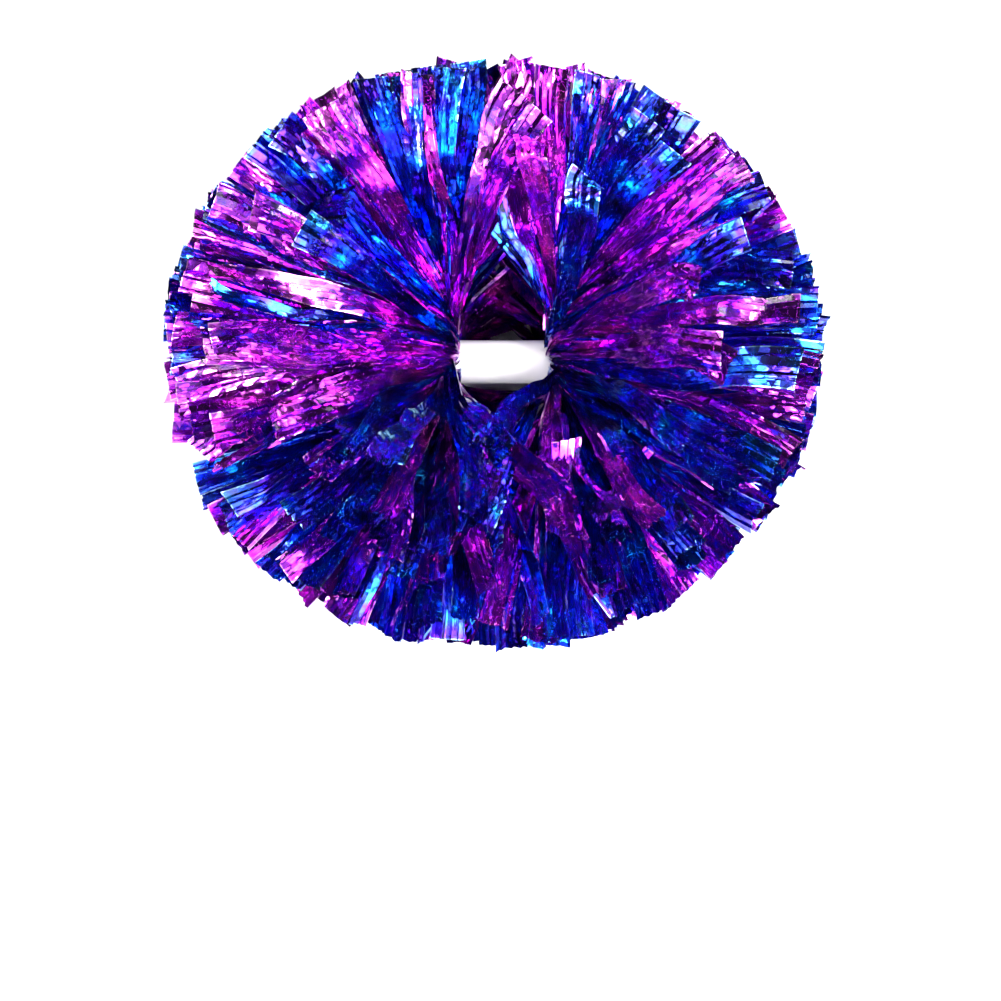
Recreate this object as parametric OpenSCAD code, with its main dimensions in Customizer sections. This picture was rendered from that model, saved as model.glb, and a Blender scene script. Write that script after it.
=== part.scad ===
// Cheer pom pom: two heads of slit metallic film on a plastic tube handle.
// X runs along the handle tube, Z is up, and the origin is under the middle
// of the tube, on the surface that the pom pom rests on.

/* [Handle tube] */
// Outside diameter of the tube
tube_d = 20; // [18:0.5:21]
// Wall thickness of the tube
tube_wall = 1.5; // [1:0.1:2]
// Length of the tube
tube_len = 100; // [96:1:110]
// Height of the tube's axis above the rest surface
axis_h = 62; // [58:1:68]
// Bare tube between the two heads, where the hand grips it
grip_len = 44; // [40:1:46]

/* [Ball] */
// Half length of the fluffed ball, along the tube
ball_x = 161; // [150:1:165]
// Half depth of the ball, in front of the tube and behind it
ball_y = 144; // [135:1:150]
// Height of the ball's top above the tube's axis
ball_z = 112; // [100:1:120]

/* [Film skirts] */
// Film skirts wound on each end of the tube
skirt_count = 12; // [8:4:12]
// Thickness that one skirt's wound band builds up to
band_t = 0.25; // [0.2:0.05:0.3]
// Length of the wound bands along the tube
band_len = 23; // [20:1:24]
// Tufts that one skirt's streamers stand out in
tufts = 3; // [3]
// Streamers in one tuft
streamers = 8; // [5:1:8]
// Spread of a tuft to each side of its middle, in degrees
tuft_spread = 8.5; // [7:0.5:9]
// Angles of the four layers of tufts, from the tube's outer end
layer_angles = [98, 55, 85, 14]; // [0:100]
// Turn of each layer's tufts about their own middle, in degrees
layer_turns = [0, 35, -30, 45]; // [-45:45]
// Part of their angle which the tufts above the tube give up, to show it
parting = 0.2; // [0.15:0.01:0.25]

/* [Fixings] */
// Thickness of the double-sided tape under the film
tape_t = 0.3; // [0.2:0.05:0.4]
// Width of the cable tie
tie_w = 3.6; // [3:0.1:4.8]
// Thickness of the cable tie's strap
tie_t = 1.2; // [1:0.1:1.4]

/* [Hidden] */
$fn = 96;
tube_r = tube_d / 2;
fold_x = grip_len / 2;
band_end = fold_x + band_len;
stack_t = skirt_count * band_t;
film_r = tube_r + tape_t;
band_r = film_r + stack_t;
collar_r = band_r + 4.7;
root_x = fold_x + stack_t / 2;
root_r = collar_r + 2;
slots = skirt_count * tufts;
slot_angle = 360 / slots;
stem_w = 2.6;
slit_start = 25;
slit_share = 0.2;
tip_step = 0.025;
tie_x = fold_x + band_len / 2 - tie_w / 2;
tie_head = [4.6, 5.4, 3];
tie_tail = 3;
blue = [0.05, 0.16, 0.78];
magenta = [0.72, 0.08, 0.62];

function skirt_name(side, k) = str(side, "_skirt_", k < 10 ? "0" : "", k);

// Slots are counted around the tube from the top, and mirror front to back.
function layer(slot) = min(slot, slots - slot) % len(layer_angles);
function above(slot) = max(0, cos(slot * slot_angle));
function lean(slot) = layer_angles[layer(slot)] * (1 - parting * pow(above(slot), 2));
function spread(slot) = tuft_spread * (0.45 + 0.55 * sin(lean(slot)));
function turn(slot) = layer_turns[layer(slot)] * sign(slot) * sign(slots / 2 - slot);
function around(slot) = [0, sin(slot * slot_angle), cos(slot * slot_angle)];
function root(slot) = [root_x, 0, 0] + root_r * around(slot);
function heading(slot) = [cos(lean(slot)), 0, 0] + sin(lean(slot)) * around(slot);

// Distances from a tuft's root to the ball's surface and to the rest surface
function in_ball(v) = [v[0] / ball_x, v[1] / ball_y, v[2] / ball_z];
function to_ball(slot) =
    let (from = in_ball(root(slot)), way = in_ball(heading(slot)))
    (sqrt(pow(from * way, 2) - (way * way) * (from * from - 1)) - from * way) / (way * way);
function to_rest(slot) =
    heading(slot)[2] < 0
        ? (axis_h + root(slot)[2]) / -heading(slot)[2] + stack_t * 3
        : ball_x;
function reach(slot) = min(to_ball(slot), to_rest(slot));

// Revolves a profile of [radius, place along the tube] around the tube's axis
module turned() {
    rotate([0, 90, 0]) rotate_extrude() children();
}

module handle_tube() {
    color("whitesmoke")
    translate([0, 0, axis_h])
    turned()
        translate([tube_r - tube_wall, -tube_len / 2])
        square([tube_wall, tube_len]);
}

// Everything on a head is drawn at the right end, and mirrored for the left.
module on_side(side) {
    translate([0, 0, axis_h])
    if (side == "left") mirror([1, 0, 0]) children();
    else children();
}

module fixing_tape() {
    color("ivory")
    turned() translate([tube_r, fold_x]) square([tape_t, band_len + 1]);
}

module cable_tie() {
    color("gainsboro") {
        turned() translate([band_r, tie_x]) square([tie_t, tie_w]);
        translate([tie_x + (tie_w - tie_head[0]) / 2, -tie_head[1] / 2, band_r + tie_t / 2])
            cube(tie_head);
        translate([tie_x, tie_head[1] / 2 - 0.5, band_r + tie_head[2] - tie_t])
            cube([tie_w, tie_tail, tie_t]);
    }
}

function polar_point(r, a) = [r * cos(a), r * sin(a)];

// A stem that opens into a fan of separate streamers with square-cut ends
module tuft_outline(length, half_angle) {
    pitch = 2 * half_angle / streamers;
    stem_len = stem_w / 2 / tan(half_angle);
    polygon(concat(
        [[0, -stem_w / 2], [stem_len, -stem_w / 2]],
        [for (j = [0 : streamers - 1])
            let (
                middle = (j + 0.5) * pitch - half_angle,
                edge = pitch * (1 - slit_share) / 2,
                tip = length * (1 - tip_step * (j % 3))
            )
            each concat(
                j > 0 ? [polar_point(slit_start, middle - pitch / 2)] : [],
                [polar_point(tip, middle - edge), polar_point(tip, middle + edge)]
            )
        ],
        [[stem_len, stem_w / 2], [0, stem_w / 2]]
    ));
}

module tuft(slot) {
    rotate([-slot * slot_angle, 0, 0])
    translate([root_x, 0, root_r]) {
        cube([stack_t, stem_w, stack_t], center = true);
        rotate([0, -lean(slot), 0])
        rotate([turn(slot), 0, 0])
        translate([0, 0, -stack_t / 2])
        linear_extrude(stack_t)
            tuft_outline(reach(slot), spread(slot));
    }
}

// A wound band, folded over at its inner edge into a collar with the tufts.
// Each skirt's band and collar nest in those of the skirt before it.
module film_skirt(k) {
    inset = (k - 1) * band_t;
    collar_x = fold_x + inset;
    color(k % 2 == 1 ? blue : magenta)
    intersection() {
        union() {
            turned()
                polygon([
                    [film_r + inset, collar_x],
                    [collar_r, collar_x],
                    [collar_r, collar_x + band_t],
                    [film_r + inset + band_t, collar_x + band_t],
                    [film_r + inset + band_t, band_end],
                    [film_r + inset, band_end]
                ]);
            for (t = [0 : tufts - 1]) {
                slot = k - 1 + t * skirt_count;
                rotate([-slot * slot_angle, 0, 0])
                    translate([collar_x, -stem_w / 4, collar_r - 1])
                    cube([band_t, stem_w / 2, 2]);
                tuft(slot);
            }
        }
        translate([-ball_x, -2 * ball_y, -axis_h])
            cube([3 * ball_x, 4 * ball_y, 4 * ball_z]);
    }
}

handle_tube();
for (side = ["left", "right"]) {
    on_side(side) fixing_tape();
    on_side(side) cable_tie();
    for (k = [1 : skirt_count])
        on_side(side) film_skirt(k);
}
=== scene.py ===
"""The looks of the cheer pom pom: film streamers, handle tube, ties, studio light and camera."""
import math

import bpy
import numpy as np
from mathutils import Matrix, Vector


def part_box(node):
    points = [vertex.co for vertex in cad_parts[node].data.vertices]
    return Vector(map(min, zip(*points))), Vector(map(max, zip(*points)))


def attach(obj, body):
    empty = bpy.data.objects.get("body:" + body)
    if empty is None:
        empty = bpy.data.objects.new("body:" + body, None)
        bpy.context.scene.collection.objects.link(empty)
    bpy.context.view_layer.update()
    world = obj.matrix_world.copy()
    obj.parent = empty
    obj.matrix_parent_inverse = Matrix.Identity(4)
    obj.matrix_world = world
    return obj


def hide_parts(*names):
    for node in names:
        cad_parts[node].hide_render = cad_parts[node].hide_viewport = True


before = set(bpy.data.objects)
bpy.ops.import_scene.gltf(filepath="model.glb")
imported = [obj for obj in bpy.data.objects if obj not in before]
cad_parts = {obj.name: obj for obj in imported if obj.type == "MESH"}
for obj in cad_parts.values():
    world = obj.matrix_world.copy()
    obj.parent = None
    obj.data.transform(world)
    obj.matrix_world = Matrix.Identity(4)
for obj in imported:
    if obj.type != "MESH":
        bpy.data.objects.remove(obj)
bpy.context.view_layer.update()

# Film skirts, in metres: each is one sheet, slit into streamers apart from the band that is wound.
SIDES = {"left": -1.0, "right": 1.0}
SKIRTS = 12
STREAMERS = 24
STREAMER_W = 0.019
STREAMER_L = 0.140
BAND_W = 0.020
SHEET_FLAT = (STREAMERS * STREAMER_W, BAND_W + STREAMER_L)
BAND_STEP = 0.00025
STRIP_UV = "strip"

# The frame's own places
TAPE_LOW, TAPE_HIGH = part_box("right_fixing_tape")
AXIS_Z = (TAPE_LOW.z + TAPE_HIGH.z) / 2
FILM_R = (TAPE_HIGH.z - TAPE_LOW.z) / 2
FOLD_X = TAPE_LOW.x
BAND_END = FOLD_X + 0.023

# A streamer's grid of points, and the creases across it
ROWS, COLUMNS = 42, 9
CREASES = 4

# How a head's clumps are spread. A lean is the angle from the tube's outer end.
FIRST_SEED = 11
CLUMP_SIZES = (1, 2, 1, 2, 1, 3)
CLUMP_STEP = math.radians(6.2)
GOLDEN = math.pi * (3 - math.sqrt(5))
LEAN_NEAR, LEAN_FAR = math.radians(2), math.radians(128)
PARTING_MIDDLE, PARTING_LEAN = math.radians(-14), math.radians(60)
PARTING_HALF, PARTING_EDGE, PARTING_FOLD = 0.55, 0.4, 0.35
SPARSE_MIDDLE, SPARSE_WIDTH, SPARSE_SHARE = math.radians(-48), 0.55, 0.5
RISE_LIMIT, FALL_LIMIT = math.radians(62), math.radians(48)
FRONT_RISE = math.radians(22)
CROSSING_ROOT = math.radians(-42)

# How much rather a clump is blue if it points up, and if the nearest placed one is blue
BLUE_ABOVE = 0.15
ALIKE = 0.5

# Shares of the streamers that are bent and folded over, and how much of the bend and twist
# the listed ones keep
BENT_SHARE, FOLDED_SHARE = 0.45, 0.06
CALM = 0.4

# The length in which a streamer turns from its root to its heading, and the height from
# which it bends away from the floor
TURN_L = 0.030
FLOOR_LOOK = 0.022
LEAST_Z = 0.0004

# The outline that tips are eased into, as the camera sees it, and the ball's top
BALL_HALF = (0.151, 0.1365)
BALL_SHIFT = -0.0065
END_STRETCH = 1.07
RIM_FROM, RIM_TO, RIM_EASE = 0.70, 0.985, 0.12
TOP_FROM, TOP_TO = 0.145, 0.178

# Tips listed or on the outline: where the outline's are, in mm, and how near the
# camera a tip comes at least, in metres and for each metre that it is below the tube.
OUTLINE_TIPS, OUTLINE_STEP = (149, 132), 8
PLACED_UP, PLACED_REACH = 0.96, 0.97
LEAST_NEAR, NEAR_BELOW = 0.035, 0.2

# The colours a film shows, from its deepest to its palest
BLUE_TINTS = [(0.10, 0.014, 0.43), (0.055, 0.018, 0.46), (0.018, 0.12, 0.68), (0.03, 0.42, 0.82)]
MAGENTA_TINTS = [(0.16, 0.018, 0.53), (0.44, 0.038, 0.63), (0.90, 0.16, 0.76)]

# The view
ELEVATION = math.radians(67)
SEEN_UP = Vector((0, math.sin(ELEVATION), math.cos(ELEVATION)))
SEEN_BACK = Vector((0, -math.cos(ELEVATION), math.sin(ELEVATION)))

# The studio: where the lamps point, each lamp's name, place, size and watts, and the sky
LIT_MIDDLE = (0, 0, 0.06)
LAMPS = [
    ("wide", (0.25, -1.0, 1.1), (2.0, 0.8), 50),
    ("key", (0.75, -0.5, 1.1), (0.32, 0.32), 24),
    ("left", (-0.9, -0.6, 0.9), (0.3, 0.5), 14),
    ("top", (0.1, -0.1, 1.5), (0.5, 0.2), 6),
    ("side", (1.2, 0.2, 0.6), (0.35, 0.35), 4),
    ("back", (0.4, 1.0, 0.7), (0.7, 0.12), 3),
]
SKY_TOWARD = (0.15, -0.80, 0.58)
SKY_DARK, SKY_BRIGHT = (0.025, 0.025, 0.035, 1), (1.05, 1.08, 1.2, 1)

# Single streamers that cross behind and under the tube: the lean, the angle around the tube,
# both in degrees, and the colour.
CROSSING = [
    (118, 95, "blue"), (125, 118, "magenta"), (116, 138, "blue"), (123, 160, "magenta"),
    (118, -172, "blue"), (124, -148, "magenta"), (117, -124, "blue"),
]

# Clumps that close in round the tube's outer end: the same two angles.
OUTER = [
    (14, 80), (16, 105), (28, 92), (20, 130), (34, 118), (18, -85),
    (16, -110), (30, -98), (22, -135), (12, 180), (26, 165), (28, -165),
]

# Clumps given one by one: where the camera sees their tips, in mm right of and above the tube's
# middle, the number of streamers and the colour.
PLACED = {
    "left": [
        (6, 136, 2, "magenta"), (19, 124, 2, "magenta"), (-4, 137, 1, "blue"),
        (-16, 138, 1, "blue"), (-25, 126, 1, "magenta"), (-33, 135, 1, "blue"),
        (-43, 134, 1, "blue"), (10, 104, 2, "magenta"), (-49, 131, 1, "magenta"),
        (-58, 129, 1, "blue"), (-70, 127, 1, "magenta"), (-80, 121, 1, "magenta"),
        (-94, 116, 1, "magenta"), (-109, 108, 1, "blue"), (-119, 99, 1, "blue"),
        (-126, 91, 1, "magenta"), (-134, 79, 1, "blue"), (-141, 67, 2, "blue"),
        (-147, 51, 1, "magenta"), (-151, 36, 1, "magenta"), (-154, 23, 1, "blue"),
        (-156, 10, 1, "blue"), (-71, 104, 1, "magenta"), (-101, 93, 2, "blue"),
        (-118, 41, 1, "magenta"), (-84, 70, 1, "blue"), (-92, 52, 1, "magenta"),
        (-118, 14, 1, "magenta"), (-122, -8, 3, "magenta"), (-108, -20, 2, "magenta"),
        (-136, 0, 1, "magenta"), (-128, -28, 1, "magenta"), (-72, -38, 2, "blue"),
        (-66, -42, 1, "magenta"), (-50, -50, 2, "blue"), (6, -50, 2, "blue"),
        (26, -70, 1, "magenta"), (-28, -84, 1, "blue"), (-16, -88, 1, "blue"),
        (-40, -98, 1, "blue"), (-58, -76, 2, "blue"), (-78, -62, 2, "blue"),
        (-92, -78, 1, "blue"), (-70, -96, 1, "magenta"), (-132, -44, 1, "blue"),
        (-120, -60, 1, "magenta"), (-106, -46, 2, "blue"), (-54, -100, 1, "blue"),
        (-44, -72, 1, "magenta"), (-62, 126, 1, "blue"), (-10, 128, 1, "blue"),
        (-36, 116, 1, "blue"),
    ],
    "right": [
        (27, 133, 1, "magenta"), (37, 128, 1, "blue"), (48, 126, 1, "magenta"),
        (60, 122, 1, "blue"), (70, 120, 1, "blue"), (57, 98, 2, "blue"),
        (87, 113, 1, "blue"), (98, 106, 1, "magenta"), (90, 92, 1, "magenta"),
        (104, 84, 2, "magenta"), (119, 88, 1, "blue"), (128, 70, 1, "blue"),
        (133, 58, 1, "magenta"), (137, 46, 1, "blue"), (140, 32, 1, "blue"),
        (142, 14, 1, "blue"), (20, 112, 1, "magenta"), (44, 86, 1, "blue"),
        (92, 54, 1, "blue"), (100, 30, 1, "magenta"), (92, -4, 2, "magenta"),
        (132, -8, 1, "magenta"), (122, -24, 1, "magenta"), (136, -30, 1, "blue"),
        (100, -38, 1, "blue"), (72, -30, 2, "blue"), (-13, -42, 2, "blue"),
        (-24, -70, 1, "blue"), (12, -62, 1, "magenta"), (29, -86, 1, "blue"),
        (42, -80, 1, "blue"), (54, -92, 2, "blue"), (84, -78, 1, "magenta"),
        (66, -64, 1, "blue"), (118, -50, 1, "blue"), (106, -58, 1, "magenta"),
        (127, -40, 1, "blue"), (80, 119, 1, "magenta"), (75, 121, 2, "blue"),
        (98, -68, 1, "blue"), (112, 98, 1, "blue"),
    ],
}


def unit(v):
    return v / np.linalg.norm(v, axis=-1, keepdims=True)


def smoothstep(x):
    x = np.clip(x, 0, 1)
    return x * x * (3 - 2 * x)


def wrap(angle):
    return (angle + math.pi) % (2 * math.pi) - math.pi


def thin_out(angle):
    """Spaces even angles so that fewer point up and forwards, where the ball is sparse."""
    grid = np.linspace(-math.pi, math.pi, 721)
    density = 1 - SPARSE_SHARE * np.exp(-((wrap(grid - SPARSE_MIDDLE) / SPARSE_WIDTH) ** 2))
    total = np.concatenate([[0], np.cumsum((density[1:] + density[:-1]) / 2)])
    return np.interp((wrap(angle) + math.pi) / (2 * math.pi), total / total[-1], grid)


def clump_headings(count, rng):
    """Directions of a right head's clumps: the angle from the tube's outer end, and around the tube."""
    n = np.arange(count) + 0.5
    cos_lean = np.interp(n / count, [0, 1], [math.cos(LEAN_NEAR), math.cos(LEAN_FAR)])
    lean = np.arccos(cos_lean) + rng.normal(0, math.radians(3), count)
    around = thin_out(n * GOLDEN + rng.normal(0, math.radians(4), count))

    # Above the tube the heads part: a clump that leans too far inwards is folded back.
    off = np.abs(wrap(around - PARTING_MIDDLE))
    limit = PARTING_LEAN + (LEAN_FAR - PARTING_LEAN) * smoothstep((off - PARTING_HALF) / PARTING_EDGE)
    lean = np.where(lean > limit, limit - PARTING_FOLD * (lean - limit), lean)
    return lean, around


def direction(lean, around):
    return np.stack(
        [np.cos(lean), np.sin(lean) * np.sin(around), np.sin(lean) * np.cos(around)], -1
    )


def outline_rows(placed, side):
    """Single streamers all round the outline, as rows like the listed ones."""
    rows = []
    for angle in np.radians(np.arange(-176, 184, OUTLINE_STEP)):
        x, up = OUTLINE_TIPS[0] * math.cos(angle), OUTLINE_TIPS[1] * math.sin(angle)
        if x * side > 0:
            near = min(placed, key=lambda row: math.hypot(row[0] - x, row[1] - up))
            rows.append((x, up, 1, near[3]))
    return rows


def placed_headings(aimed, side):
    """Directions of the crossing streamers and of the aimed rows, in a right head's own frame."""
    heads = [direction(*np.radians(way)) for *way, _ in CROSSING]
    for seen_x, seen_up, *_ in aimed:
        x = 0.001 * seen_x * side - FOLD_X
        up = 0.001 * seen_up * PLACED_UP
        least = LEAST_NEAR + NEAR_BELOW * max(-up, 0)
        near = math.sqrt(max((PLACED_REACH * STREAMER_L) ** 2 - x * x - up * up, least ** 2))
        heads.append([x, *(SEEN_UP * up + SEEN_BACK * near)[1:]])
    return unit(np.array(heads))


def flatten_rise(d):
    """Leans what stands up steeply, spreads what points down, and lifts the front ones a little."""
    rise = np.arcsin(np.clip(d[:, 2], -1, 1))
    limit = np.where(rise > 0, RISE_LIMIT, FALL_LIMIT)
    new = np.sign(rise) * limit * (1 - np.exp(-np.abs(rise) / limit))
    flat = unit(d[:, :2])
    front = smoothstep((-flat[:, 1] - 0.35) / 0.3)
    new = np.where(new > 0, new + front * np.maximum(FRONT_RISE - 0.5 * new, 0), new)
    return np.concatenate([flat * np.cos(new)[:, None], np.sin(new)[:, None]], 1)


def smooth_noise(rng, count, rows, knots):
    """count smooth random curves of rows + 1 values, of about unit size."""
    raw = rng.normal(0, 1, (count, knots + 3))
    t = np.linspace(0, knots, rows + 1)
    i = np.minimum(t.astype(int), knots - 1)
    f = smoothstep(t - i)
    return raw[:, i] * (1 - f) + raw[:, i + 1] * f


def centre_lines(roots, radial, heads, across, droop, kink, floor, length, rng):
    """Integrates each streamer's middle line from its fold to its tip."""
    count = len(roots)
    pos = roots.copy()
    lines = [pos.copy()]
    sway = np.stack([smooth_noise(rng, count, ROWS, 4) for _ in range(3)], -1) * 0.10
    step = length / ROWS
    for row in range(ROWS):
        f = (row + 0.5) / ROWS
        turn = smoothstep(f * STREAMER_L / TURN_L)
        aim = unit((1 - turn) * radial + turn * heads)
        aim = aim + sway[:, row] * smoothstep(f * 2.5)
        aim[:, 2] -= droop[0] * f ** 1.6 + droop[1] * f ** 4
        aim = unit(aim)
        bend = (kink[1] * smoothstep((f - kink[0]) / 0.04))[:, None]
        aim = unit(aim * np.cos(bend) + np.cross(aim, across) * np.sin(bend))
        lowest = -(pos[:, 2] - floor) / FLOOR_LOOK
        held = aim[:, 2] < lowest
        flat = unit(aim[:, :2])
        level = np.clip(lowest, -0.99, 0.99)
        bent = np.concatenate([flat * np.sqrt(1 - level ** 2)[:, None], level[:, None]], 1)
        aim = np.where(held[:, None], bent, aim)
        pos = pos + aim * step[:, None]
        lines.append(pos.copy())
    return np.stack(lines, 1)


def fit_outline(lines, side):
    """Eases the streamers into the ball's oval outline, as the camera sees it, and under its top."""
    room = TOP_TO - TOP_FROM
    over = lines[..., 2] - TOP_FROM
    lines[..., 2] = np.where(over > 0, TOP_FROM + room * (1 - np.exp(-over / room)), lines[..., 2])
    flat = lines[..., :2].copy()
    flat[..., 0] = FOLD_X + (flat[..., 0] - FOLD_X) * np.where(flat[..., 0] > FOLD_X, END_STRETCH, 1)
    root = flat[:, :1].copy()
    lift = SEEN_UP.z * (lines[:, -1, 2] - AXIS_Z)

    def tip_out():
        across = (flat[:, -1, 0] * side - BALL_SHIFT) / BALL_HALF[0]
        up = (SEEN_UP.y * flat[:, -1, 1] + lift) / BALL_HALF[1]
        return np.hypot(across, up)

    out = tip_out()
    eased = RIM_FROM + (RIM_TO - RIM_FROM) * (1 - np.exp(-(out - RIM_FROM) / RIM_EASE))
    want = np.where(out > RIM_FROM, eased, out)
    for _ in range(4):
        flat = root + (flat - root) * np.clip(want / tip_out(), 0.7, 1.15)[:, None, None]
    return np.concatenate([flat, lines[..., 2:]], 2)


def frames_along(lines, across):
    """Tangent, width and normal directions along each line, the width carried from row to row."""
    tangent = unit(np.gradient(lines, axis=1))
    width = np.empty_like(tangent)
    w = across
    for row in range(lines.shape[1]):
        t = tangent[:, row]
        w = unit(w - (w * t).sum(-1, keepdims=True) * t)
        width[:, row] = w
    return tangent, width, np.cross(tangent, width)


def ribbons(lines, across, twist, rng):
    """Pleated and crumpled strips about the middle lines: one grid of points each."""
    count = len(lines)
    tangent, width, normal = frames_along(lines, across)
    s = np.linspace(0, 1, ROWS + 1)
    angle = twist[:, None] * smoothstep(s)[None] + 0.25 * smooth_noise(rng, count, ROWS, 3)
    c, sn = np.cos(angle)[..., None], np.sin(angle)[..., None]
    width, normal = width * c + normal * sn, normal * c - width * sn

    # A pleated strip keeps its flat width: what it loses across it gains in depth.
    low = smoothstep((0.045 - lines[:, -1, 2]) / 0.03)
    front = smoothstep((-lines[:, -1, 1] - 0.05) / 0.04)
    pleated = np.maximum(low, 0.6 * front) * rng.uniform(0.05, 0.5, count)
    opened = (rng.uniform(0.84, 0.99, count) - pleated)[:, None]
    shape = rng.uniform(0.7, 1.25, count)[:, None]
    gather = 0.14 + (opened - 0.14) * s[None] ** shape
    seg = rng.uniform(0.35, 1.9, (count, COLUMNS))
    seg = STREAMER_W * seg / seg.sum(1, keepdims=True)
    zig = np.where(np.arange(COLUMNS) % 2 == 0, 1.0, -1.0)[None]
    dx = seg[:, None, :] * gather[..., None]
    dh = seg[:, None, :] * np.sqrt(1 - gather[..., None] ** 2) * zig[:, None, :]
    x = np.concatenate([np.zeros((count, ROWS + 1, 1)), np.cumsum(dx, 2)], 2)
    h = np.concatenate([np.zeros((count, ROWS + 1, 1)), np.cumsum(dh, 2)], 2)
    x -= x.mean(2, keepdims=True)
    h -= h.mean(2, keepdims=True)

    bowl = rng.normal(0, 30, count)[:, None, None]
    h += bowl * x ** 2
    along = s[None, :, None] * STREAMER_L
    for _ in range(CREASES):
        slope = rng.uniform(-1.2, 1.2, count)[:, None, None]
        place = rng.uniform(0.15, 1.05, count)[:, None, None] * STREAMER_L
        reach = rng.uniform(0.005, 0.016, count)[:, None, None]
        depth = rng.normal(0, 0.16, count)[:, None, None] * reach
        far = np.abs((along - place + x * np.tan(slope)) * np.cos(slope)) / reach
        h += depth * np.maximum(0, 1 - far) * smoothstep(s * 2)[None, :, None]
    slant = rng.normal(0, 0.10, count)[:, None, None]
    past = slant * x * smoothstep(s)[None, :, None] ** 4
    return (
        lines[:, :, None]
        + width[:, :, None] * x[..., None]
        + normal[:, :, None] * h[..., None]
        + tangent[:, :, None] * past[..., None]
    )


def grid_faces(rows, columns, start):
    """Quads of a grid of (rows + 1) x (columns + 1) points whose first point is number start."""
    i = np.arange(rows)[:, None] * (columns + 1) + np.arange(columns)[None]
    i = i.ravel() + start
    return np.stack([i, i + 1, i + columns + 2, i + columns + 1], 1)


def grid_uv(rows, columns, size, offset):
    """Flat places on the film, in metres, of a grid's points."""
    u, v = np.meshgrid(np.linspace(0, size[0], columns + 1), np.linspace(0, size[1], rows + 1))
    return np.stack([u + offset[0], v + offset[1]], -1).reshape(-1, 2)


def mesh_object(name, points, faces, flat, material):
    me = bpy.data.meshes.new(name)
    me.vertices.add(len(points))
    me.vertices.foreach_set("co", points.astype(np.float32).ravel())
    me.loops.add(faces.size)
    me.loops.foreach_set("vertex_index", faces.astype(np.int32).ravel())
    me.polygons.add(len(faces))
    me.polygons.foreach_set("loop_start", np.arange(0, faces.size, 4, dtype=np.int32))
    me.update(calc_edges=True)
    me.uv_layers.new(name=STRIP_UV)
    me.uv_layers[STRIP_UV].uv.foreach_set("vector", flat[faces.ravel()].astype(np.float32).ravel())
    me.polygons.foreach_set("use_smooth", np.ones(len(me.polygons), bool))
    me.set_sharp_from_angle(angle=math.radians(24))
    ends = np.empty(2 * len(me.edges), np.int32)
    me.edges.foreach_get("vertices", ends)
    sharp = np.empty(len(me.edges), bool)
    me.attributes["sharp_edge"].data.foreach_get("value", sharp)
    lengthwise = np.abs(ends[0::2] - ends[1::2]) != 1
    me.attributes["sharp_edge"].data.foreach_set("value", sharp & lengthwise)
    me.materials.append(material)
    ob = bpy.data.objects.new(name, me)
    bpy.context.scene.collection.objects.link(ob)
    return ob


def band_points(side, k):
    """The unslit band of skirt k, wound on the tube end in a spiral."""
    turns = SHEET_FLAT[0] / (2 * math.pi * (FILM_R + BAND_STEP * k))
    steps = int(turns * 28)
    t = np.linspace(0, 1, steps + 1)
    angle = t * turns * 2 * math.pi
    radius = FILM_R + BAND_STEP * (k - 1 + 0.1 + 0.8 * t)
    x = np.linspace(BAND_END - BAND_W, BAND_END, 5)
    points = np.empty((steps + 1, 5, 3))
    points[..., 0] = side * x[None]
    points[..., 1] = (radius * np.sin(angle))[:, None]
    points[..., 2] = AXIS_Z + (radius * np.cos(angle))[:, None]
    return points.reshape(-1, 3), (steps, 4)


def clump_plan(count, rng):
    """Number of streamers in each clump, so that they add up to count."""
    sizes = []
    while sum(sizes) < count:
        sizes.append(int(rng.choice(CLUMP_SIZES)))
    sizes[-1] -= sum(sizes) - count
    return np.array(sizes)


def share_colours(sizes, placed, heads, total, rng):
    """Which clumps are blue, so that half of the streamers are. Most match the nearest placed one."""
    blue = np.zeros(len(sizes), bool)
    blue[: len(placed)] = [row[3] == "blue" for row in placed]
    left = total // 2 - sizes[blue].sum()
    near_blue = blue[np.argmax(heads @ heads[: len(placed)].T, axis=1)]
    order = np.argsort(rng.random(len(sizes)) - BLUE_ABOVE * heads[:, 2] - ALIKE * near_blue)
    for i in order[order >= len(placed)]:
        if sizes[i] <= left:
            blue[i] = True
            left -= sizes[i]
    return blue


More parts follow.
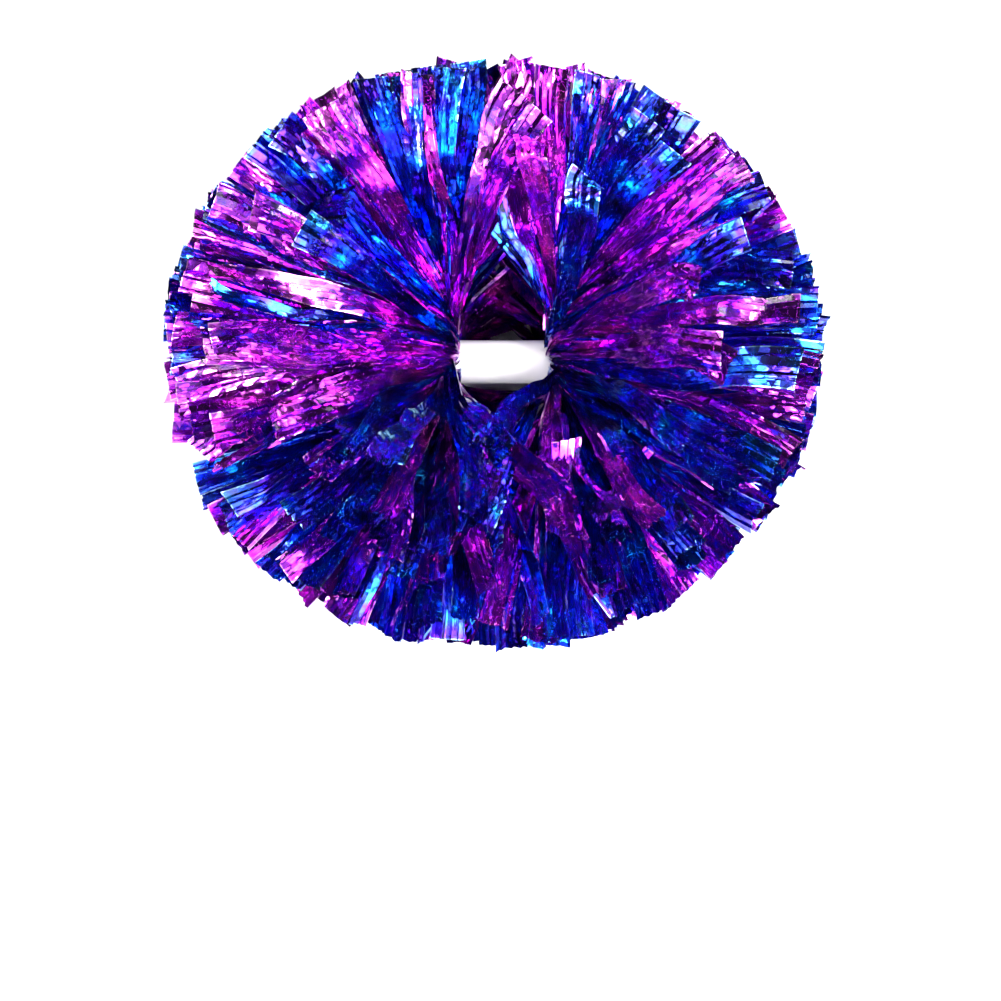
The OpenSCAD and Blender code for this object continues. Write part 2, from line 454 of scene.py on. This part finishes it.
def head_streamers(side, placed, seed):
    """All of one head's streamers as grids of points, with their colours, clump by clump."""
    rng = np.random.default_rng(seed)
    count = SKIRTS * STREAMERS
    aimed = outline_rows(placed, side) + placed
    placed = [(0, 0, 1, colour) for *_, colour in CROSSING] + aimed
    by_hand = np.array([row[2] for row in placed])
    sizes = np.concatenate([by_hand, clump_plan(count - by_hand.sum(), rng)])
    clumps = len(sizes)
    loose = clumps - len(placed)
    lean, around = clump_headings(loose, rng)
    order = rng.permutation(loose)

    # Each clump's heading, where round the tube its root is, and the direction of its width
    set_heads = placed_headings(aimed, side)
    set_around = np.arctan2(set_heads[:, 1], set_heads[:, 2])
    over_grip = (set_heads[:, 0] < 0) & (set_heads[:, 1] < 0) & (set_heads[:, 2] > 0)
    around = np.concatenate([np.where(over_grip, CROSSING_ROOT, set_around), around[order]])
    heads = np.concatenate([set_heads, flatten_rise(direction(lean[order], around[len(placed):]))])
    outer = np.radians(OUTER)
    heads[-len(OUTER):] = direction(*outer.T)
    around[-len(OUTER):] = outer[:, 1]
    clump_heads = heads
    across = unit(np.cross(heads, np.array([0, 0.001, 1.0])))
    across[: len(placed)] = unit(np.cross(set_heads, np.array(SEEN_BACK)))
    roll = rng.normal(0, math.radians(35), clumps)[:, None]
    roll[: len(placed)] *= 0.3
    across = across * np.cos(roll) + np.cross(heads, across) * np.sin(roll)

    # Each streamer's own, fanned out in its clump
    of = np.repeat(np.arange(clumps), sizes)
    by_hand = of < len(placed)
    member = np.concatenate([np.arange(n) - (n - 1) / 2 for n in sizes])
    heads, across, around = heads[of], across[of], around[of]
    spread = np.tan(member * CLUMP_STEP + rng.normal(0, 0.025, count))[:, None]
    heads = unit(heads + across * spread + np.cross(heads, across) * rng.normal(0, 0.045, (count, 1)))
    around = around + rng.normal(0, 0.12, count)

    radial = direction(np.full(count, math.pi / 2), around)
    root_r = FILM_R + rng.uniform(0.001, 0.005, count)
    roots = radial * root_r[:, None]
    roots[:, 0] = FOLD_X + rng.uniform(0, 0.003, count)
    roots[:, 2] += AXIS_Z

    # Loose streamers droop, low ones curl at the tip, and a few are folded over.
    droop = rng.uniform(0.05, 0.5, clumps)[of] + rng.normal(0, 0.05, count)
    droop[by_hand] = 0.05
    curl = rng.uniform(-0.3, 0.5, count) * smoothstep((0.30 - heads[:, 2]) / 0.2) * ~by_hand
    bend = rng.normal(0, 0.35, count) * (rng.random(count) < BENT_SHARE)
    folded = (rng.random(count) < FOLDED_SHARE) & ~by_hand
    bend = np.where(folded, rng.uniform(1.6, 2.4, count) * np.sign(rng.normal(0, 1, count)), bend)
    kink = (rng.uniform(0.5, 0.9, count), np.where(by_hand, CALM * bend, bend))
    floor = rng.uniform(0.0015, 0.014, count)
    length = STREAMER_L * rng.uniform(0.93, 0.97, count)
    lines = centre_lines(roots, radial, heads, across, (droop, curl), kink, floor, length, rng)
    twist = rng.normal(0, 0.45, clumps)[of] + rng.normal(0, 0.2, count)
    twist = np.where(by_hand, CALM * twist, twist)
    grids = ribbons(fit_outline(lines, side), across, twist, rng)
    grids[..., 2] = np.maximum(grids[..., 2], LEAST_Z)
    grids[..., 0] *= side
    return grids, share_colours(sizes, placed, clump_heads, count, rng)[of]


def noise_node(nodes, scale, detail=3.0):
    n = nodes.new("ShaderNodeTexNoise")
    n.inputs["Scale"].default_value = scale
    n.inputs["Detail"].default_value = detail
    return n


def math_node(nodes, links, operation, first, second):
    n = nodes.new("ShaderNodeMath")
    n.operation = operation
    for place, value in enumerate((first, second)):
        if isinstance(value, (int, float)):
            n.inputs[place].default_value = value
        else:
            links.new(value, n.inputs[place])
    return n.outputs["Value"]


def facet_height(nodes, links, strip, scale, tilt, squeeze):
    """Height, in metres, of crumpled film: flat cells, long ones, that each lean their own way."""
    squeezed = nodes.new("ShaderNodeVectorMath")
    squeezed.operation = "MULTIPLY"
    squeezed.inputs[1].default_value = (1, squeeze, 1)
    links.new(strip.outputs["UV"], squeezed.inputs[0])
    wander = noise_node(nodes, scale * 0.5, 1.0)
    links.new(squeezed.outputs["Vector"], wander.inputs["Vector"])
    centred = nodes.new("ShaderNodeVectorMath")
    centred.operation = "MULTIPLY_ADD"
    centred.inputs[1].default_value = (1.2 / scale, 1.2 / scale, 0)
    links.new(wander.outputs["Color"], centred.inputs[0])
    links.new(squeezed.outputs["Vector"], centred.inputs[2])
    cells = nodes.new("ShaderNodeTexVoronoi")
    cells.voronoi_dimensions = "2D"
    cells.inputs["Scale"].default_value = scale
    links.new(centred.outputs["Vector"], cells.inputs["Vector"])
    lean = nodes.new("ShaderNodeVectorMath")
    lean.operation = "MULTIPLY_ADD"
    lean.inputs[1].default_value = (2 * tilt, 2 * tilt, 0)
    lean.inputs[2].default_value = (-tilt, -tilt, 0)
    links.new(cells.outputs["Color"], lean.inputs[0])
    offset = nodes.new("ShaderNodeVectorMath")
    offset.operation = "SUBTRACT"
    links.new(centred.outputs["Vector"], offset.inputs[0])
    links.new(cells.outputs["Position"], offset.inputs[1])
    rise = nodes.new("ShaderNodeVectorMath")
    rise.operation = "DOT_PRODUCT"
    links.new(lean.outputs["Vector"], rise.inputs[0])
    links.new(offset.outputs["Vector"], rise.inputs[1])
    return rise.outputs["Value"]


def edge_mask(nodes, links, strip):
    """1 along a streamer's cut edges, where the film gets a painted highlight, and 0 within it."""
    split = nodes.new("ShaderNodeSeparateXYZ")
    links.new(strip.outputs["UV"], split.inputs["Vector"])
    across = math_node(nodes, links, "PINGPONG", split.outputs["X"], STREAMER_W / 2)
    along = math_node(nodes, links, "FRACT", split.outputs["Y"], 0.0)
    to_tip = math_node(nodes, links, "SUBTRACT", STREAMER_L, along)
    near = math_node(nodes, links, "MINIMUM", across, math_node(nodes, links, "ABSOLUTE", to_tip, 0.0))
    mask = nodes.new("ShaderNodeMapRange")
    mask.interpolation_type = "SMOOTHSTEP"
    mask.inputs["From Min"].default_value = 0.0005
    mask.inputs["From Max"].default_value = 0.00015
    links.new(near, mask.inputs["Value"])
    return mask.outputs["Result"]


def film_material(name, tints):
    """Metallised film: a tinted mirror with lengthwise creases, fine wrinkles and a little haze, and a
    painted highlight along its cut edges.
    """
    m = bpy.data.materials.new(name)
    m.use_nodes = True
    nodes, links = m.node_tree.nodes, m.node_tree.links
    shader = nodes["Principled BSDF"]
    shader.inputs["Metallic"].default_value = 1.0
    shader.inputs["Coat Weight"].default_value = 0.35
    shader.inputs["Coat Roughness"].default_value = 0.1
    strip = nodes.new("ShaderNodeUVMap")
    strip.uv_map = STRIP_UV

    tint = noise_node(nodes, 45.0, 4.0)
    ramp = nodes.new("ShaderNodeValToRGB")
    stops = ramp.color_ramp.elements
    while len(stops) < len(tints):
        stops.new(0.5)
    for i, colour in enumerate(tints):
        stops[i].position = 0.32 + 0.36 * i / (len(tints) - 1)
        stops[i].color = (*colour, 1)
    links.new(strip.outputs["UV"], tint.inputs["Vector"])
    links.new(tint.outputs["Fac"], ramp.inputs["Fac"])
    # Along the cut edges the film is mixed to a paler colour: a painted highlight for the bright lines
    # that the edges catch.
    edge = edge_mask(nodes, links, strip)
    painted_edge_highlight = nodes.new("ShaderNodeMix")
    painted_edge_highlight.data_type = "RGBA"
    painted_edge_highlight.inputs["B"].default_value = (*[0.25 + 0.6 * c for c in tints[-1]], 1)
    links.new(edge, painted_edge_highlight.inputs["Factor"])
    links.new(ramp.outputs["Color"], painted_edge_highlight.inputs["A"])
    links.new(painted_edge_highlight.outputs["Result"], shader.inputs["Base Color"])

    haze = noise_node(nodes, 120.0)
    rough = nodes.new("ShaderNodeMapRange")
    rough.inputs["To Min"].default_value = 0.06
    rough.inputs["To Max"].default_value = 0.24
    links.new(strip.outputs["UV"], haze.inputs["Vector"])
    links.new(haze.outputs["Fac"], rough.inputs["Value"])
    links.new(rough.outputs["Result"], shader.inputs["Roughness"])

    lengthwise = nodes.new("ShaderNodeMapping")
    lengthwise.inputs["Scale"].default_value = (800, 35, 1)
    links.new(strip.outputs["UV"], lengthwise.inputs["Vector"])
    creases = noise_node(nodes, 1.0, 2.0)
    links.new(lengthwise.outputs["Vector"], creases.inputs["Vector"])
    wrinkle = noise_node(nodes, 160.0, 3.0)
    wrinkle.inputs["Distortion"].default_value = 0.8
    links.new(strip.outputs["UV"], wrinkle.inputs["Vector"])
    fine = math_node(nodes, links, "ADD", creases.outputs["Fac"], wrinkle.outputs["Fac"])
    height = math_node(nodes, links, "MULTIPLY", fine, 0.00012)
    for facets in ((65, 0.20, 0.6), (190, 0.10, 0.4), (450, 0.16, 0.6)):
        height = math_node(nodes, links, "ADD", height, facet_height(nodes, links, strip, *facets))
    bump = nodes.new("ShaderNodeBump")
    bump.inputs["Strength"].default_value = 1.0
    bump.inputs["Distance"].default_value = 1.0
    links.new(height, bump.inputs["Height"])
    links.new(bump.outputs["Normal"], shader.inputs["Normal"])
    return m


def plastic_material(name, low, high, roughness, scale):
    """Plain moulded or extruded plastic with faint mottling and a fine uneven surface."""
    m = bpy.data.materials.new(name)
    m.use_nodes = True
    nodes, links = m.node_tree.nodes, m.node_tree.links
    shader = nodes["Principled BSDF"]
    place = nodes.new("ShaderNodeTexCoord")
    mottle = noise_node(nodes, scale)
    ramp = nodes.new("ShaderNodeValToRGB")
    ramp.color_ramp.elements[0].position = 0.3
    ramp.color_ramp.elements[0].color = (*low, 1)
    ramp.color_ramp.elements[1].position = 0.7
    ramp.color_ramp.elements[1].color = (*high, 1)
    links.new(place.outputs["Object"], mottle.inputs["Vector"])
    links.new(mottle.outputs["Fac"], ramp.inputs["Fac"])
    links.new(ramp.outputs["Color"], shader.inputs["Base Color"])
    rough = nodes.new("ShaderNodeMapRange")
    rough.inputs["To Min"].default_value = roughness - 0.08
    rough.inputs["To Max"].default_value = roughness + 0.08
    links.new(mottle.outputs["Fac"], rough.inputs["Value"])
    links.new(rough.outputs["Result"], shader.inputs["Roughness"])
    grain = noise_node(nodes, scale * 12)
    bump = nodes.new("ShaderNodeBump")
    bump.inputs["Strength"].default_value = 0.15
    bump.inputs["Distance"].default_value = 0.0002
    links.new(place.outputs["Object"], grain.inputs["Vector"])
    links.new(grain.outputs["Fac"], bump.inputs["Height"])
    links.new(bump.outputs["Normal"], shader.inputs["Normal"])
    return m


def dress_node(node, material):
    """A CAD node that keeps its shape and gets a better material."""
    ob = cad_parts[node]
    if not ob.material_slots:
        ob.data.materials.append(material)
    for s in ob.material_slots:
        s.material = material


def build_heads(films):
    for number, (side, sign) in enumerate(SIDES.items()):
        grids, blue = head_streamers(sign, PLACED[side], FIRST_SEED + number)
        for k in range(1, SKIRTS + 1):
            is_blue = k % 2 == 1
            own = np.flatnonzero(blue == is_blue)[(k - 1) // 2 :: SKIRTS // 2]
            points, shape = band_points(sign, k)
            faces = [grid_faces(*shape, 0)]
            flat = [grid_uv(*shape, (BAND_W, SHEET_FLAT[0]), (k * STREAMER_W, 0))]
            start = len(points)
            points = [points]
            for i in own:
                points.append(grids[i].reshape(-1, 3))
                faces.append(grid_faces(ROWS, COLUMNS, start))
                corner = (i * STREAMER_W, 1 + number)
                flat.append(grid_uv(ROWS, COLUMNS, (STREAMER_W, STREAMER_L), corner))
                start += (ROWS + 1) * (COLUMNS + 1)
            colour = "film_blue" if is_blue else "film_magenta"
            node = f"{side}_skirt_{k:02d}"
            piece = mesh_object(
                f"{side}_film_{k:02d}",
                np.concatenate(points),
                np.concatenate(faces),
                np.concatenate(flat),
                films[colour],
            )
            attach(piece, "root")
            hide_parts(node)


def build_camera():
    """The photograph's view: from above and in front, with the ball above the frame's middle."""
    distance = 1.10
    cam = bpy.data.cameras.new("camera")
    cam.lens = 85
    ob = bpy.data.objects.new("camera", cam)
    bpy.context.scene.collection.objects.link(ob)
    target = Vector((0, 0, AXIS_Z)) - SEEN_UP * 0.0645 - Vector((0.0012, 0, 0))
    ob.location = target + SEEN_BACK * distance
    ob.rotation_euler = (math.pi / 2 - ELEVATION, 0, 0)
    bpy.context.scene.camera = ob
    return ob


def area_light(name, place, size, power):
    light = bpy.data.lights.new(name, "AREA")
    light.shape = "RECTANGLE"
    light.size, light.size_y = size
    light.energy = power
    ob = bpy.data.objects.new(name, light)
    bpy.context.scene.collection.objects.link(ob)
    ob.location = place
    ob.rotation_euler = (Vector(LIT_MIDDLE) - Vector(place)).to_track_quat("-Z", "Y").to_euler()
    return ob


def build_floor():
    """A plain pale floor, wide enough that its edge stays out of low views."""
    half = 9.0
    corners = [(-half, -half, 0), (half, -half, 0), (half, half, 0), (-half, half, 0)]
    me = bpy.data.meshes.new("floor")
    me.from_pydata(corners, [], [(0, 1, 2, 3)])
    floor = bpy.data.objects.new("floor", me)
    bpy.context.scene.collection.objects.link(floor)
    m = bpy.data.materials.new("floor")
    m.use_nodes = True
    shader = m.node_tree.nodes["Principled BSDF"]
    shader.inputs["Base Color"].default_value = (0.80, 0.80, 0.80, 1)
    shader.inputs["Roughness"].default_value = 0.9
    me.materials.append(m)


def build_world():
    """Soft light from above the camera, which fades to dark behind the ball."""
    world = bpy.data.worlds.new("studio")
    world.use_nodes = True
    nodes, links = world.node_tree.nodes, world.node_tree.links
    way = nodes.new("ShaderNodeTexCoord")
    toward = nodes.new("ShaderNodeVectorMath")
    toward.operation = "DOT_PRODUCT"
    toward.inputs[1].default_value = SKY_TOWARD
    fade = nodes.new("ShaderNodeMapRange")
    fade.interpolation_type = "SMOOTHSTEP"
    fade.inputs["From Min"].default_value = 0.42
    fade.inputs["From Max"].default_value = 0.92
    tone = nodes.new("ShaderNodeValToRGB")
    tone.color_ramp.elements[0].color = SKY_DARK
    tone.color_ramp.elements[1].color = SKY_BRIGHT
    links.new(way.outputs["Generated"], toward.inputs[0])
    links.new(toward.outputs["Value"], fade.inputs["Value"])
    links.new(fade.outputs["Result"], tone.inputs["Fac"])
    links.new(tone.outputs["Color"], nodes["Background"].inputs["Color"])
    bpy.context.scene.world = world


build_camera()
build_floor()
build_world()
for lamp in LAMPS:
    area_light(*lamp)
films = {
    "film_blue": film_material("film_blue", BLUE_TINTS),
    "film_magenta": film_material("film_magenta", MAGENTA_TINTS),
}
build_heads(films)
handle = plastic_material("handle_plastic", (0.73, 0.71, 0.68), (0.80, 0.78, 0.75), 0.38, 40)
dress_node("handle_tube", handle)
tape = plastic_material("fixing_tape", (0.72, 0.66, 0.46), (0.80, 0.74, 0.55), 0.7, 120)
nylon = plastic_material("cable_tie_nylon", (0.74, 0.74, 0.70), (0.84, 0.84, 0.80), 0.45, 200)
for side in SIDES:
    dress_node(f"{side}_fixing_tape", tape)
    dress_node(f"{side}_cable_tie", nylon)

bpy.context.scene.view_settings.view_transform = "Standard"
